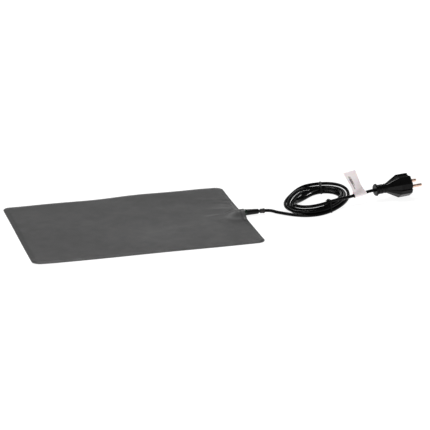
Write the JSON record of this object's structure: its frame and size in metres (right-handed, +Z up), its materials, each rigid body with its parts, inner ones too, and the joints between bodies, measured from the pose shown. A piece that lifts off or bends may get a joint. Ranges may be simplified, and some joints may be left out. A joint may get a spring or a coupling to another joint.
{
  "type": "seedling heat mat",
  "caption": "Thin flexible rectangular heating mat with a moulded strain relief on one short edge and a coiled mains lead that ends in a round-pin plug.",
  "frame": {"origin": "centre of the mat's underside, on the surface it lies on", "axes": "+X along the mat's length towards the lead, +Y across the mat away from the viewer, +Z up"},
  "size_m": [0.6444, 0.25, 0.0501],
  "materials": {
    "cover_top": "matte, fine grain",
    "cover_bottom": "matte, fine grain",
    "fleece": "needled fibre",
    "foil": "satin, slightly crinkled",
    "wire_insulation": "satin",
    "crimp": "tinned",
    "shrink_tube": "satin",
    "core_brown": "satin",
    "core_blue": "satin",
    "gland_vinyl": "matte",
    "collar": "gloss",
    "relief": "satin",
    "relief_tip": "satin",
    "cord_jacket": "gloss",
    "tie": "satin",
    "label_film": "satin film",
    "plug_moulding": "semi-gloss moulded",
    "bridge": "matte moulded",
    "pin": "polished"
  },
  "bodies": {
    "root": {"bottom_cover": "cover_bottom", "lower_fleece": "fleece", "heating_wire": "wire_insulation", "heat_spreader": "foil", "upper_fleece": "fleece", "top_cover": "cover_top", "gland_block": "gland_vinyl", "splice_crimps": "crimp", "splice_sleeves": "shrink_tube", "core_line": "core_brown", "core_neutral": "core_blue", "cord_entry": "cord_jacket", "gland_collar": "collar", "strain_relief": "relief", "relief_tip": "relief_tip", "lead_in": "cord_jacket", "cord_coil": "cord_jacket", "lead_out": "cord_jacket", "front_tie": "tie", "back_tie": "tie", "label": "label_film", "plug_body": "plug_moulding", "pin_bridge": "bridge", "pin_line": "pin", "pin_neutral": "pin", "plug_core_line": "core_brown", "plug_core_neutral": "core_blue", "plug_cord_end": "cord_jacket"}
  },
  "joints": []
}
